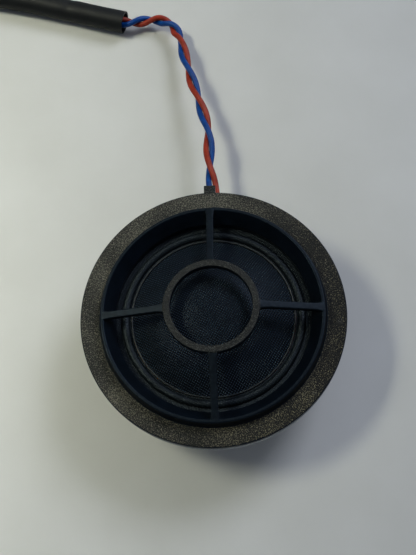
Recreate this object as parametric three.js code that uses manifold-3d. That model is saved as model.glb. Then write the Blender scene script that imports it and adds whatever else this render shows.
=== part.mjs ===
// Car dome tweeter with a flush flange, a four-spoke guard and a twisted pigtail.
// Millimetres, +Z towards the listener. The origin is the centre of the flat back
// face that it lies on. The key tab and the cable outlet point along +Y.
import * as THREE from 'three';
import { mergeVertices } from 'three/addons/utils/BufferGeometryUtils.js';
import Module from 'manifold-3d';

const wasm = await Module();
wasm.setup();

// ---- driving dimensions -------------------------------------------------

// Motor, from the voice coil outwards and from the back upwards.
const coilR = 15.1;          // inside of the voice coil former
const formerT = 0.15;
const windingT = 0.4;
const windingH = 2.4;
const formerTail = 0.3;      // former below the winding
const glueLine = 0.01;
const gapInner = 0.25;       // pole plate to former
const gapOuter = 0.25;       // winding to yoke
const poleT = 1.5;
const magnetT = 2.7;
const magnetInset = 1.35;    // the magnet is this much smaller than the pole plate
const yokeWall = 2.3;
const yokeFloorT = 1.5;
const yokeChamfer = 0.5;
const yokeDrop = 0.15;       // the yoke's rim stands this much below the pole plate
const feltT = 0.8;
const feltInset = 2.4;

// Diaphragm and its clamping.
const domeH = 4.9;
const clothT = 0.25;
const beadW = 0.35;
const beadH = 0.35;
const valleyW = 0.3;
const rollW = 1.6;
const rollH = 0.75;
const landW = 0.95;          // flat of the surround that shows inside the bezel
const clampW = 0.5;          // flat of the surround under the bezel
const mountRingT = 0.5;
const mountRingInset = 0.15;
const chassisT = 1.0;
const notchDepth = 0.6;      // slot in the chassis ring for the coil's leads
const travel = 0.4;          // one-way travel of the moving coil

// Front moulding.
const landDepth = 2.0;       // front face of the flange down to the surround's flat
const edgeDepth = 0.45;      // front face down to the thin edge at the cone's foot
const coneFlare = 1.9;
const collarH = 2.1;
const collarW = 0.6;
const collarDraft = 0.4;
const flangeBand = 3.7;
const flangeT = 1.2;
const flangeChamfer = 0.2;
const tabW = 2.25;
const tabOut = 1.5;
const skirtWall = 1.05;
const skirtH = 5.3;
const guardOuterR = 8.9;
const guardBand = 1.35;
const guardRise = 5.75;      // top of the guard ring over the flange's front face
const guardT = 1.5;
const spokeW = 1.4;
const spokeCount = 4;
const gasketT = 1.7;
const gasketInset = 1.6;     // gasket bore outside the skirt

// Rear housing.
const floorT = 1.2;
const footChamfer = 0.8;
const ribW = 1.4;
const ribL = 2.0;
const ribAngles = [45, 135, 225, 315];
const hookW = 4.6;
const hookH = 1.2;
const hookAngles = [0, 180, 270];
const outletHalfW = 7.0;
const outletWall = 1.0;
const outletDepth = 4.4;     // how far the outlet box stands out of the housing
const outletHalfH = 3.2;
const outletZ = 8.0;         // height of the cable's axis
const shaftHalfW = 5.0;      // channel for the coil's leads
const shaftDepth = 3.0;      // channel inwards from the housing's bore
const shaftFloorT = 0.8;     // step from the housing's floor up to the channel
const lipNotch = 0.3;        // channel outwards past the locating lip

// Terminal strip and filter.
const boardT = 0.8;
const boardL = 2.6;
const tagPitch = 4.0;
const tagW = 2.0;
const tagT = 0.3;
const solderR = 0.8;
const eyeletR = 0.5;
const capacitorR = 2.0;
const capacitorL = 7.0;
const capacitorGap = 0.25;
const capacitorInset = 3.2;  // from the housing's bore to the end with the leads
const capacitorRound = 0.3;  // rounded rim at the closed end
const crimpBack = 1.3;       // from the end with the leads to the crimp groove
const crimpDepth = 0.25;
const capacitorX = 2.1;
const leadPitch = 1.5;
const leadR = 0.2;
const tinselR = 0.175;

// Cable.
const wireR = 0.6;
const coreR = 0.32;
const wirePitch = 1.7;       // spacing of the two wires in the grommet
const strandGap = 0.2;       // from a wire's surface to the pair's axis where twisted
const laySlow = 17.0;        // one turn of the pair on the long drop
const dropRun = 46.5;        // length of the pair that has the slow lay
const spreadRun = 5.0;       // length over which the pair opens out or closes up
const layFast = 8.9;         // one turn near the sleeve
const plainRun = 2.5;        // untwisted length past the grommet
const strandSides = 8;
const strandStep = 2.3;
const sleeveR = 2.5;
const sleeveSides = 12;
const sleeveStep = 6.5;
const grommetStretch = 1.8;  // width over height of the oval grommet
const grommetHeadR = 2.1;
const grommetNeckR = 1.5;
const grommetTailL = 2.1;
const grommetTailR = 1.3;
const grommetHeadT = 0.8;    // head inside the outlet box
const grommetCollarT = 0.6;  // head outside it
const grommetDraft = 0.1;

// Two-way connector.
const plugW = 8.0;
const plugH = 6.5;
const plugL = 18.0;
const plugPitch = 3.5;
const plugChamfer = 0.5;
const plugWall = 0.8;
const shroudDepth = 6.0;
const contactW = 1.3;
const pinW = 0.64;
const pinL = 3.5;
const latchW = 3.2;
const latchL = 9.0;
const latchT = 0.8;
const latchGap = 0.7;
const latchInset = 4.0;      // from the plug's rear face to the latch's root
const latchRootL = 1.2;      // solid root that joins the latch arm to the shell
const barbL = 1.4;
const barbH = 0.5;
const crimpInset = 2.5;      // from the plug's rear face to the contact's crimp

// Clearances.
const slip = 0.05;           // between pieces that locate each other
const loose = 0.1;
const faceGap = 0.3;         // between a soft piece or a wire and what it meets

// Working allowances.
const past = 1.0;            // how far a cutting form runs past the face it cuts
const bite = 0.5;            // how far two joined forms run into each other

// ---- derived sizes ------------------------------------------------------

const poleR = coilR - gapInner;
const formerOuterR = coilR + formerT;
const windingOuterR = formerOuterR + windingT;
const yokeInnerR = windingOuterR + gapOuter;
const yokeOuterR = yokeInnerR + yokeWall;
const magnetR = poleR - magnetInset;
const feltR = poleR - feltInset;

const beadInnerR = formerOuterR - 0.05;
const beadOuterR = beadInnerR + beadW;
const rollInnerR = beadOuterR + valleyW;
const rollMidR = rollInnerR + rollW / 2;
const rollOuterR = rollInnerR + rollW;
const coneEdgeR = rollOuterR + landW;
const surroundR = coneEdgeR + clampW;
const skirtInnerR = surroundR + slip;
const bodyR = skirtInnerR + skirtWall;
const openingR = coneEdgeR + coneFlare;
const collarOuterR = openingR + collarW;
const collarFootR = collarOuterR + collarDraft;
const flangeR = collarFootR + flangeBand;
const gasketInnerR = bodyR + gasketInset;
const guardInnerR = guardOuterR - guardBand;

const yokeBottom = floorT + 2 * capacitorR + 2 * capacitorGap;
const magnetBottom = yokeBottom + yokeFloorT;
const poleBottom = magnetBottom + magnetT;
const poleTop = poleBottom + poleT;
const yokeTop = poleTop - yokeDrop;
const chassisTop = yokeTop + chassisT;
const mountRingTop = chassisTop + mountRingT;
const landTop = mountRingTop + clothT;
const frontZ = landTop + landDepth;
const flangeRear = frontZ - flangeT;
const skirtBottom = flangeRear - skirtH;
const poleMid = (poleBottom + poleTop) / 2;
const windingBottom = poleMid - windingH / 2;
const windingTop = poleMid + windingH / 2;
const formerTop = mountRingTop - slip;
const coneEdgeZ = frontZ - edgeDepth;
const collarTop = frontZ + collarH;
const guardTop = frontZ + guardRise;

const housingInnerR = yokeOuterR + loose;
const lipOuterR = skirtInnerR - slip;
const lipMiddleR = (housingInnerR + lipOuterR) / 2;
const outletY = bodyR + outletDepth;
const outletInnerY = outletY - outletWall;
const outletFloor = outletZ - outletHalfH + outletWall;
const outletCeiling = outletZ + outletHalfH - outletWall;
const boardY = outletInnerY - faceGap * 3 - boardL / 2 - grommetHeadR / 4;
const boardTop = outletFloor + boardT;
const tagTop = boardTop + tagT;
const solderTop = tagTop + solderR;
const strandOffset = wireR + strandGap;

// ---- shape helpers ------------------------------------------------------

const SMOOTH = 72;           // facets round a ring that shows
const INNER = 48;            // facets round a ring inside the housing
const MEDIUM = 24;           // facets round the grommet and the capacitor
const SMALL = 16;            // facets round a small part
const THREAD = 6;            // facets round a lead or a stripped core
const threadStep = 1.0;      // length of one step along a lead or a core

// A closed geometry as a solid, with doubled points joined and empty faces left out.
function solid(geometry) {
  const bare = geometry.clone();
  bare.deleteAttribute('normal');
  bare.deleteAttribute('uv');
  const joined = mergeVertices(bare, 1e-5);
  const index = joined.index.array;
  const faces = [];
  for (let i = 0; i < index.length; i += 3) {
    const [a, b, c] = [index[i], index[i + 1], index[i + 2]];
    if (a !== b && b !== c && c !== a) faces.push(a, b, c);
  }
  return new wasm.Manifold(new wasm.Mesh({
    numProp: 3,
    vertProperties: new Float32Array(joined.attributes.position.array),
    triVerts: new Uint32Array(faces),
  }));
}

function geometryOf(body) {
  const mesh = body.getMesh();
  const geometry = new THREE.BufferGeometry();
  geometry.setAttribute('position', new THREE.BufferAttribute(mesh.vertProperties, 3));
  geometry.setIndex(new THREE.BufferAttribute(mesh.triVerts, 1));
  geometry.computeVertexNormals();
  return geometry;
}

const join = (...bodies) => bodies.reduce((all, body) => all.add(body));
const cut = (body, ...tools) => tools.reduce((rest, tool) => rest.subtract(tool), body);

// A turned solid about Z. The profile's [radius, z] points run counter-clockwise.
function turned(profile, facets = SMOOTH) {
  const points = profile.map(([r, z]) => new THREE.Vector2(r, z));
  if (profile[0][0] > 0) points.push(points[0].clone());
  return solid(new THREE.LatheGeometry(points, facets).rotateX(Math.PI / 2));
}

const ring = (inner, outer, low, high, facets = SMOOTH) =>
  turned([[inner, low], [outer, low], [outer, high], [inner, high]], facets);

const disc = (radius, low, high, facets = SMOOTH) =>
  turned([[0, low], [radius, low], [radius, high], [0, high]], facets);

// A block between two corners.
function block(low, high) {
  const size = high.map((value, i) => value - low[i]);
  const middle = high.map((value, i) => (value + low[i]) / 2);
  return solid(new THREE.BoxGeometry(...size).translate(...middle));
}

// A rod along Y.
const rodY = (radius, x, z, low, high, facets = SMALL) =>
  solid(new THREE.CylinderGeometry(radius, radius, high - low, facets)
    .translate(x, (low + high) / 2, z));

// A [u, v] outline pushed out to a thickness centred on the plane, u outwards, v up.
function plateAlong(outline, width, angle) {
  const shape = new THREE.Shape(outline.map(([u, v]) => new THREE.Vector2(u, v)));
  return solid(new THREE.ExtrudeGeometry(shape, { depth: width, bevelEnabled: false })
    .translate(0, 0, -width / 2)
    .rotateX(Math.PI / 2)
    .rotateZ(angle));
}

// A round bar that follows a smooth line through the points.
function bar(points, radius, sides, step) {
  const line = new THREE.CatmullRomCurve3(points.map((p) => new THREE.Vector3(...p)), false,
    'centripetal');
  const section = new THREE.Shape();
  for (let i = 0; i < sides; i++) {
    const angle = (2 * Math.PI * i) / sides;
    const [x, y] = [radius * Math.cos(angle), radius * Math.sin(angle)];
    if (i === 0) section.moveTo(x, y);
    else section.lineTo(x, y);
  }
  section.closePath();
  const steps = Math.max(2, Math.round(line.getLength() / step));
  return solid(new THREE.ExtrudeGeometry(section, {
    steps, extrudePath: line, bevelEnabled: false,
  }));
}

const degrees = (value) => (value * Math.PI) / 180;

// ---- materials ----------------------------------------------------------

const finish = (color, roughness, metalness = 0) =>
  new THREE.MeshStandardMaterial({ color, roughness, metalness });

const mouldedBlack = finish('#2b2c2b', 0.6);
const housingBlack = finish('#1d1e1f', 0.5);
const foamGrey = finish('#8d9091', 0.95);
const clothBlack = finish('#121417', 0.85);
const ringBlack = finish('#191a1b', 0.7);
const foil = finish('#b9a27a', 0.4, 0.6);
const copper = finish('#b06a3a', 0.3, 1.0);
const plainSteel = finish('#9b9c9e', 0.35, 1.0);
const nickel = finish('#c9c9c4', 0.2, 1.0);
const zinc = finish('#a9adaf', 0.4, 1.0);
const feltGrey = finish('#4a4a48', 1.0);
const phenolic = finish('#7a4a22', 0.6);
const tinnedBrass = finish('#c2b48c', 0.3, 1.0);
const tin = finish('#b8bcc0', 0.25, 1.0);
const capSleeve = finish('#20324f', 0.35);
const rubberBlack = finish('#161616', 0.8);
const insulationRed = finish('#a53c23', 0.4);
const insulationBlue = finish('#1455a0', 0.4);
const sleevePvc = finish('#33383a', 0.55);
const connectorGrey = finish('#26282a', 0.5);

const tweeter = new THREE.Group();
tweeter.name = 'car_tweeter';

function place(name, body, material) {
  const mesh = new THREE.Mesh(geometryOf(body), material);
  mesh.name = name;
  tweeter.add(mesh);
}

// ---- front bezel: flange, key tab, collar, cone, guard and skirt --------

function frontBezel() {
  const shell = turned([
    [coneEdgeR, landTop], [skirtInnerR, landTop], [skirtInnerR, skirtBottom],
    [bodyR, skirtBottom], [bodyR, flangeRear], [flangeR, flangeRear],
    [flangeR, frontZ - flangeChamfer], [flangeR - flangeChamfer, frontZ],
    [collarFootR, frontZ], [collarOuterR, collarTop], [openingR, collarTop],
    [coneEdgeR, coneEdgeZ],
  ]);
  const tab = block([-tabW / 2, flangeR - past, flangeRear],
    [tabW / 2, flangeR + tabOut, frontZ]);
  const guard = ring(guardInnerR, guardOuterR, guardTop - guardT, guardTop, INNER);
  const spokes = Array.from({ length: spokeCount }, (_, i) => plateAlong([
    [guardOuterR - bite, guardTop - guardT], [openingR + bite, collarTop - guardT],
    [openingR + bite, collarTop], [guardOuterR - bite, guardTop],
  ], spokeW, degrees((360 * i) / spokeCount)));
  const outletNotch = block([-outletHalfW - loose, 0, skirtBottom - past],
    [outletHalfW + loose, flangeR, outletZ + outletHalfH + loose]);
  const windows = hookAngles.map((angle) => hookBlock(angle, lipMiddleR, bodyR + past, loose));
  return cut(join(shell, tab, guard, ...spokes), outletNotch, ...windows);
}

// The block of one snap hook, grown all round by an amount to make its window.
function hookBlock(angle, inner, outer, grow) {
  const middle = (skirtBottom + yokeTop) / 2;
  const outline = [
    [inner, middle - hookH / 2 - grow], [outer, middle - hookH / 2 - grow],
    [outer, middle + hookH / 2 + grow], [inner, middle + hookH / 2 + grow],
  ];
  return plateAlong(outline, hookW + 2 * grow, degrees(angle));
}

place('front_bezel', frontBezel(), mouldedBlack);

// Closed-cell foam ring behind the flange.
place('mounting_gasket',
  ring(gasketInnerR, flangeR, flangeRear - gasketT, flangeRear), foamGrey);

// ---- diaphragm ----------------------------------------------------------

// Height of the dome's outer surface over its edge, at a radius.
const domeSphereR = (beadInnerR ** 2 + domeH ** 2) / (2 * domeH);
const domeRise = (r) => Math.sqrt(domeSphereR ** 2 - r ** 2) - (domeSphereR - domeH);

function dome() {
  const edge = landTop + slip;
  const steps = 7;
  const radii = Array.from({ length: steps }, (_, i) => (beadInnerR * i) / steps);
  const outer = radii.map((r) => [r, edge + domeRise(r)]).reverse();
  const inner = radii.map((r) => [r, edge - clothT + domeRise(r)]);
  return turned([
    ...inner, [coilR, edge - clothT], [beadOuterR, edge - clothT],
    [beadOuterR, edge + beadH / 2], [beadOuterR - beadW / 2, edge + beadH],
    [beadInnerR, edge + beadH / 2], ...outer,
  ], INNER);
}

function surround() {
  const steps = 5;
  const arc = (inset) => Array.from({ length: steps + 1 }, (_, i) => {
    const angle = (Math.PI * i) / steps;
    return [rollMidR + (rollW / 2 - inset) * Math.cos(angle),
      landTop - inset + rollH * Math.sin(angle)];
  });
  const under = landTop - clothT;
  return turned([
    [beadOuterR + slip, under], ...arc(clothT).reverse(), [surroundR, under],
    [surroundR, landTop], ...arc(0), [beadOuterR + slip, landTop],
  ], INNER);
}

place('dome', dome(), clothBlack);
place('surround', surround(), clothBlack);

// Flat ring that the cloth is bonded to, clamped between the bezel and the chassis.
place('surround_mounting_ring',
  ring(rollOuterR - mountRingInset, surroundR, chassisTop, mountRingTop, INNER), ringBlack);

// ---- moving coil --------------------------------------------------------

place('voice_coil_former',
  ring(coilR, formerOuterR, windingBottom - formerTail, formerTop - clothT, INNER), foil);
place('voice_coil_winding',
  ring(formerOuterR + glueLine, windingOuterR, windingBottom, windingTop, INNER), copper);

// ---- magnet system ------------------------------------------------------

place('pole_plate', disc(poleR, poleBottom, poleTop, INNER), plainSteel);
place('magnet', disc(magnetR, magnetBottom, poleBottom, INNER), nickel);
place('yoke_cup', turned([
  [0, yokeBottom], [yokeOuterR - yokeChamfer, yokeBottom],
  [yokeOuterR, yokeBottom + yokeChamfer],
  [yokeOuterR, yokeTop], [yokeInnerR, yokeTop], [yokeInnerR, magnetBottom], [0, magnetBottom],
], INNER), zinc);
place('damping_felt', disc(feltR, poleTop, poleTop + feltT, INNER), feltGrey);

// Chassis ring that carries the motor, notched where the coil's leads cross it.
const leadSlot = block([-shaftHalfW, 0, chassisTop - notchDepth],
  [shaftHalfW, flangeR, frontZ]);
const leadDrop = block([-shaftHalfW, yokeOuterR - notchDepth, yokeTop - past],
  [shaftHalfW, flangeR, frontZ]);
place('chassis_ring', cut(ring(yokeInnerR + loose, surroundR, yokeTop, chassisTop, INNER),
  leadSlot, leadDrop), ringBlack);

// ---- rear housing: cup, lip, ribs, snap hooks and cable outlet ----------

function rearHousing() {
  const cup = turned([
    [0, 0], [bodyR - footChamfer, 0], [bodyR, footChamfer], [bodyR, skirtBottom],
    [lipOuterR, skirtBottom], [lipOuterR, yokeTop], [housingInnerR, yokeTop],
    [housingInnerR, floorT], [0, floorT],
  ]);
  const ribs = ribAngles.map((angle) => plateAlong([
    [housingInnerR - ribL, floorT - bite], [housingInnerR + bite, floorT - bite],
    [housingInnerR + bite, yokeBottom], [housingInnerR - ribL, yokeBottom],
  ], ribW, degrees(angle)));
  const hooks = hookAngles.map((angle) => hookBlock(angle, lipMiddleR, bodyR - loose, 0));
  const outlet = block([-outletHalfW, lipMiddleR, outletZ - outletHalfH],
    [outletHalfW, outletY, outletZ + outletHalfH]);
  const pocket = block([-outletHalfW + outletWall, housingInnerR - shaftDepth, outletFloor],
    [outletHalfW - outletWall, outletInnerY, outletCeiling]);
  const shaft = block([-shaftHalfW, housingInnerR - shaftDepth, floorT + shaftFloorT],
    [shaftHalfW, skirtInnerR + lipNotch, frontZ]);
  const hole = grommetProfile([
    [grommetNeckR + slip, outletInnerY - past], [grommetNeckR + slip, outletY + past],
  ]);
  return cut(join(cup, ...ribs, ...hooks, outlet), pocket, shaft, hole);
}

// An oval solid about the cable's axis: its [radius, y] points run outwards along Y.
function grommetProfile(points) {
  const profile = [[0, points[0][1]], ...points, [0, points.at(-1)[1]]]
    .map(([r, y]) => new THREE.Vector2(r, y));
  return solid(new THREE.LatheGeometry(profile, MEDIUM)
    .scale(grommetStretch, 1, 1)
    .translate(wireMidX, 0, outletZ));
}

const wireMidX = 0.5;        // the pair leaves slightly to the right of the tab
place('rear_housing', rearHousing(), housingBlack);

// ---- terminal strip -----------------------------------------------------

const tagXs = { negative: -tagPitch, input: 0, positive: tagPitch };
const board = block([-outletHalfW + outletWall + loose, boardY - boardL / 2, outletFloor],
  [outletHalfW - outletWall - loose, boardY + boardL / 2, boardTop]);
const eyeletHoles = Object.values(tagXs).map((x) =>
  disc(eyeletR + slip, outletFloor - past, boardTop + past, SMALL).translate([x, boardY, 0]));
place('terminal_board', cut(board, ...eyeletHoles), phenolic);

for (const [name, x] of Object.entries(tagXs)) {
  const plate = block([x - tagW / 2, boardY - tagW / 2, boardTop],
    [x + tagW / 2, boardY + tagW / 2, tagTop]);
  const eyelet = disc(eyeletR, outletFloor + loose, tagTop - loose, SMALL).translate([x, boardY, 0]);
  place(`tag_${name}`, join(plate, eyelet), tinnedBrass);
  const joint = turned([
    [0, tagTop], [solderR, tagTop], [solderR * 0.87, tagTop + solderR / 2],
    [solderR / 2, solderTop], [0, solderTop],
  ], SMALL).translate([x, boardY, 0]);
  place(`solder_${name}`, joint, tin);
}

// ---- filter capacitor ---------------------------------------------------

const capacitorZ = floorT + capacitorGap + capacitorR;
const capacitorEnd = housingInnerR - capacitorInset;
const capacitorStart = capacitorEnd - capacitorL;
const grooveY = capacitorEnd - crimpBack;
const can = new THREE.LatheGeometry([
  [0, capacitorStart], [capacitorR - capacitorRound, capacitorStart],
  [capacitorR, capacitorStart + capacitorRound],
  [capacitorR, grooveY - capacitorRound], [capacitorR - crimpDepth, grooveY],
  [capacitorR, grooveY + capacitorRound],
  [capacitorR, capacitorEnd - slip], [capacitorR - slip, capacitorEnd], [0, capacitorEnd],
].map(([r, y]) => new THREE.Vector2(r, y)), MEDIUM).translate(capacitorX, 0, capacitorZ);
place('filter_capacitor', solid(can), capSleeve);

// Each lead runs back under the yoke, up the channel and over to its tag.
const riseY = housingInnerR + 0.45;
for (const [name, x, tagX] of [
  ['capacitor_lead_in', capacitorX - leadPitch / 2, tagXs.input],
  ['capacitor_lead_out', capacitorX + leadPitch / 2, tagXs.positive]]) {
  const overX = tagX + Math.sign(x - tagX) * 0.2;
  place(name, bar([
    [x, capacitorEnd + slip, capacitorZ], [x, capacitorEnd + 1.5, capacitorZ],
    [x, riseY - 0.9, capacitorZ + 0.35], [x, riseY, capacitorZ + 1.6],
    [x, riseY, solderTop - 1.2], [(x + overX) / 2, riseY + 0.5, solderTop + leadR + loose],
    [overX, boardY, solderTop + leadR + slip],
  ], leadR, THREAD, threadStep), tin);
}

// Tinsel leads from the coil, over the yoke's rim and down the channel.
for (const [name, side] of [['coil_lead_negative', -1], ['coil_lead_positive', 1]]) {
  const x = side * (tagPitch - 0.4);
  const crossZ = chassisTop - 0.3;
  const atRadius = (r) => Math.sqrt(r ** 2 - x ** 2);
  const dropY = atRadius(yokeOuterR + 0.32);
  place(name, bar([
    [x, atRadius(windingOuterR + 0.45), crossZ + 0.05],
    [x, atRadius(yokeInnerR + 1.0), crossZ], [x, atRadius(yokeOuterR - 0.2), crossZ],
    [x, dropY, crossZ - 0.7], [x, dropY, solderTop + 1.6],
    [side * tagPitch, boardY - 0.3 - solderR, solderTop + 0.5],
  ], tinselR, THREAD, threadStep), copper);
}

// ---- grommet and lead wires ---------------------------------------------

const grommetInner = outletInnerY - grommetHeadT;
const collarEnd = outletY + grommetCollarT;
const grommetEnd = collarEnd + grommetTailL;
const wireHoleR = wireR + loose + slip;
const wireXs = { blue: wireMidX - wirePitch / 2, red: wireMidX + wirePitch / 2 };
const wireHoles = Object.values(wireXs).map((x) =>
  rodY(wireHoleR, x, outletZ, grommetInner - past, grommetEnd + past));
place('cable_grommet', cut(grommetProfile([
  [grommetHeadR - 2 * grommetDraft, grommetInner], [grommetHeadR - grommetDraft, outletInnerY],
  [grommetNeckR, outletInnerY], [grommetNeckR, outletY],
  [grommetHeadR - grommetDraft, outletY], [grommetHeadR - grommetDraft, collarEnd],
  [grommetTailR, grommetEnd],
]), ...wireHoles), rubberBlack);

// Axis of the twisted pair: out of the grommet, then down to the surface it lies on. Its last
// point leaves room at the sleeve's mouth for the wires' slanting ends.
const mouthX = -18.7;
const mouthY = 73.4;
const pairRoute = [
  [wireMidX, grommetInner - 0.2, outletZ], [wireMidX, grommetEnd + 0.3, outletZ],
  [-0.2, 34.2, 7.9], [-0.4, 42.6, 7.3], [-2.4, 51.1, 6.3], [-4.7, 60.1, 4.9],
  [-6.2, 67.4, 3.6], [-8.0, 71.5, 3.0], [-10.7, 73.4, 2.5], [-13.4, 73.7, 2.3],
  [-16.1, 73.3, 2.4], [mouthX + faceGap + wireR / 2, mouthY, sleeveR],
];

// Axis of the sleeve: on past its mouth, then round to lie back beside the tweeter.
const sleeveRoute = [
  [mouthX, mouthY, sleeveR], [-24.3, 75.1, sleeveR], [-33.4, 78.0, sleeveR], [-42.7, 80.8, sleeveR],
  [-51.0, 82.6, sleeveR], [-58.5, 82.2, sleeveR], [-65.5, 78.6, sleeveR], [-70.5, 72.2, sleeveR],
  [-72.8, 64.0, sleeveR], [-73.2, 54.0, sleeveR], [-73.0, 44.0, sleeveR], [-73.0, 35.0, sleeveR],
];

// Axis of the pair between the sleeve's end and the back of the connector.
const plugX = -73.0;
const plugRearY = 12.0;
const plugWireZ = plugH / 2;
const tailRoute = [
  [plugX, 34.7, sleeveR], [plugX, 28.0, sleeveR], [plugX, 20.0, 2.9],
  [plugX, plugRearY + faceGap, plugWireZ],
];

// One wire of a pair: its own offset from the axis, turned by the lay as it goes.
function strand(route, side, lays, spreadIn, spreadOut) {
  const axis = new THREE.CatmullRomCurve3(route.map((p) => new THREE.Vector3(...p)), false,
    'centripetal');
  const total = axis.getLength();
  const count = Math.round(total / strandStep);
  const points = [];
  let turn = 0;
  for (let i = 0; i <= count; i++) {
    const t = i / count;
    const along = t * total;
    const centre = axis.getPointAt(t);
    const forward = axis.getTangentAt(t);
    const across = new THREE.Vector3(forward.y, -forward.x, 0).normalize();
    const upward = new THREE.Vector3().crossVectors(across, forward);
    const offset = spreadAt(along, total, spreadIn, spreadOut) * side;
    const angle = turn;
    centre.addScaledVector(across, offset * Math.cos(angle));
    centre.addScaledVector(upward, offset * Math.sin(angle));
    points.push(centre.toArray());
    turn += lays(along, total) * (total / count);
  }
  return bar(points, wireR, strandSides, strandStep);
}

// Offset from the axis: held at each end for the length given there, then eased.
function spreadAt(along, total, spreadIn, spreadOut) {
  const ease = (x) => THREE.MathUtils.smoothstep(x, 0, spreadRun);
  const fromStart = THREE.MathUtils.lerp(spreadIn.offset, strandOffset,
    ease(along - spreadIn.hold));
  return THREE.MathUtils.lerp(spreadOut.offset, fromStart,
    ease(total - along - spreadOut.hold));
}

// The pair is straight in the grommet, then twisted left-handed, faster near the sleeve.
const straightRun = grommetEnd - grommetInner + plainRun;
function pairLay(along) {
  if (along < straightRun) return 0;
  return (2 * Math.PI) / (along < dropRun ? laySlow : layFast);
}

const inGrommet = { offset: wirePitch / 2, hold: straightRun };
const inSleeve = { offset: strandOffset, hold: 0 };
const inPlug = { offset: plugPitch / 2, hold: 0 };
for (const [name, side, material] of [
  ['blue', -1, insulationBlue], ['red', 1, insulationRed]]) {
  place(`lead_wire_${name}`, strand(pairRoute, side, pairLay, inGrommet, inSleeve), material);
  place(`tail_wire_${name}`, strand(tailRoute, -side, () => 0, inSleeve, inPlug), material);
}

// Stripped cores from the insulation's end to the tags.
for (const [name, from, to] of [
  ['blue', wireXs.blue, tagXs.negative], ['red', wireXs.red, tagXs.input]]) {
  place(`wire_core_${name}`, bar([
    [from, grommetInner - 0.35, outletZ], [from, grommetInner - 0.9, outletZ],
    [to + Math.sign(from - to) * (solderR + coreR), boardY + 0.6, solderTop - coreR],
  ], coreR, THREAD, threadStep), copper);
}

place('protective_sleeve', bar(sleeveRoute, sleeveR, sleeveSides, sleeveStep), sleevePvc);

// ---- two-way connector --------------------------------------------------

const plugFrontY = plugRearY - plugL;
const shroudEnd = plugFrontY + shroudDepth;
const contactXs = { blue: plugX - plugPitch / 2, red: plugX + plugPitch / 2 };

function connectorHousing() {
  const [w, h, c] = [plugW / 2, plugH, plugChamfer];
  const outline = [
    [-w + c, 0], [w - c, 0], [w, c], [w, h - c], [w - c, h], [-w + c, h], [-w, h - c], [-w, c],
  ];
  const shape = new THREE.Shape(outline.map(([x, z]) => new THREE.Vector2(x, z)));
  const shell = solid(new THREE.ExtrudeGeometry(shape, { depth: plugL, bevelEnabled: false })
    .rotateX(Math.PI / 2)
    .translate(plugX, plugRearY, 0));
  const shroud = block([plugX - w + plugWall, plugFrontY - past, plugWall],
    [plugX + w - plugWall, shroudEnd, h - plugWall]);
  const channels = Object.values(contactXs).map((x) => {
    const half = contactW / 2 + slip;
    return block([x - half, plugFrontY, plugWireZ - half],
      [x + half, plugRearY + past, plugWireZ + half]);
  });
  const [latchLow, latchHigh] = [h + latchGap, h + latchGap + latchT];
  const [left, right] = [plugX - latchW / 2, plugX + latchW / 2];
  const latchRear = plugRearY - latchInset;
  const latchFront = latchRear - latchL;
  const latchRoot = block([left, latchRear - latchRootL, h - bite], [right, latchRear, latchHigh]);
  const latchArm = block([left, latchFront, latchLow], [right, latchRear, latchHigh]);
  const latchBarb = block([left, latchFront, latchLow + latchT / 2],
    [right, latchFront + barbL, latchHigh + barbH]);
  return cut(join(shell, latchRoot, latchArm, latchBarb), shroud, ...channels);
}

place('connector_housing', connectorHousing(), connectorGrey);
for (const [name, x] of Object.entries(contactXs)) {
  const half = contactW / 2 - slip;
  const crimp = block([x - half, shroudEnd + bite, plugWireZ - half],
    [x + half, plugRearY - crimpInset, plugWireZ + half]);
  const pin = block([x - pinW / 2, shroudEnd - pinL, plugWireZ - pinW / 2],
    [x + pinW / 2, shroudEnd + 2 * bite, plugWireZ + pinW / 2]);
  place(`connector_contact_${name}`, join(crimp, pin), tinnedBrass);
}

export default tweeter;
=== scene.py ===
# Car dome tweeter: a black moulded bezel with a spoked guard over a cloth dome, a hidden motor in a
# rear housing, and a twisted pair of leads that runs through a PVC sleeve to a two-way connector.
import math

import bmesh
import bpy
from mathutils import Matrix, Quaternion, Vector, geometry


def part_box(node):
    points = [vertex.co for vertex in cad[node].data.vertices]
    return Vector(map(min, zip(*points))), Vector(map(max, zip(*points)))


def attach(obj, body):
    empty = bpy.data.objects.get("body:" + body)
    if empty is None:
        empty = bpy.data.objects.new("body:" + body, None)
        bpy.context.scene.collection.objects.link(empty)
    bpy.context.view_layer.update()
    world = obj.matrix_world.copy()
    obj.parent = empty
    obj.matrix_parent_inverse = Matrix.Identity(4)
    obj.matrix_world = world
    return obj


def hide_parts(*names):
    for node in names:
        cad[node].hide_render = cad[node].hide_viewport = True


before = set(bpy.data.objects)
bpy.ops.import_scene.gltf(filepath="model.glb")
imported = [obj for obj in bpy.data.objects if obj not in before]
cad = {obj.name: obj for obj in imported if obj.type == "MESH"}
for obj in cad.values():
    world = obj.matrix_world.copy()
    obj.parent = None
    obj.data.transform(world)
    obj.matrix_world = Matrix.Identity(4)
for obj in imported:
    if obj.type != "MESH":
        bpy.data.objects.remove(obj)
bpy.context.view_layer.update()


# ---- The shot ----------------------------------------------------------------------------------
# The tweeter lies on a pale laminate table, under a window and two lamps, and is seen from above
# its near side through a 65 mm lens.

mm = 0.001
scene = bpy.context.scene
scene.view_settings.view_transform = "Standard"
scene.view_settings.look = "None"

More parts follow.
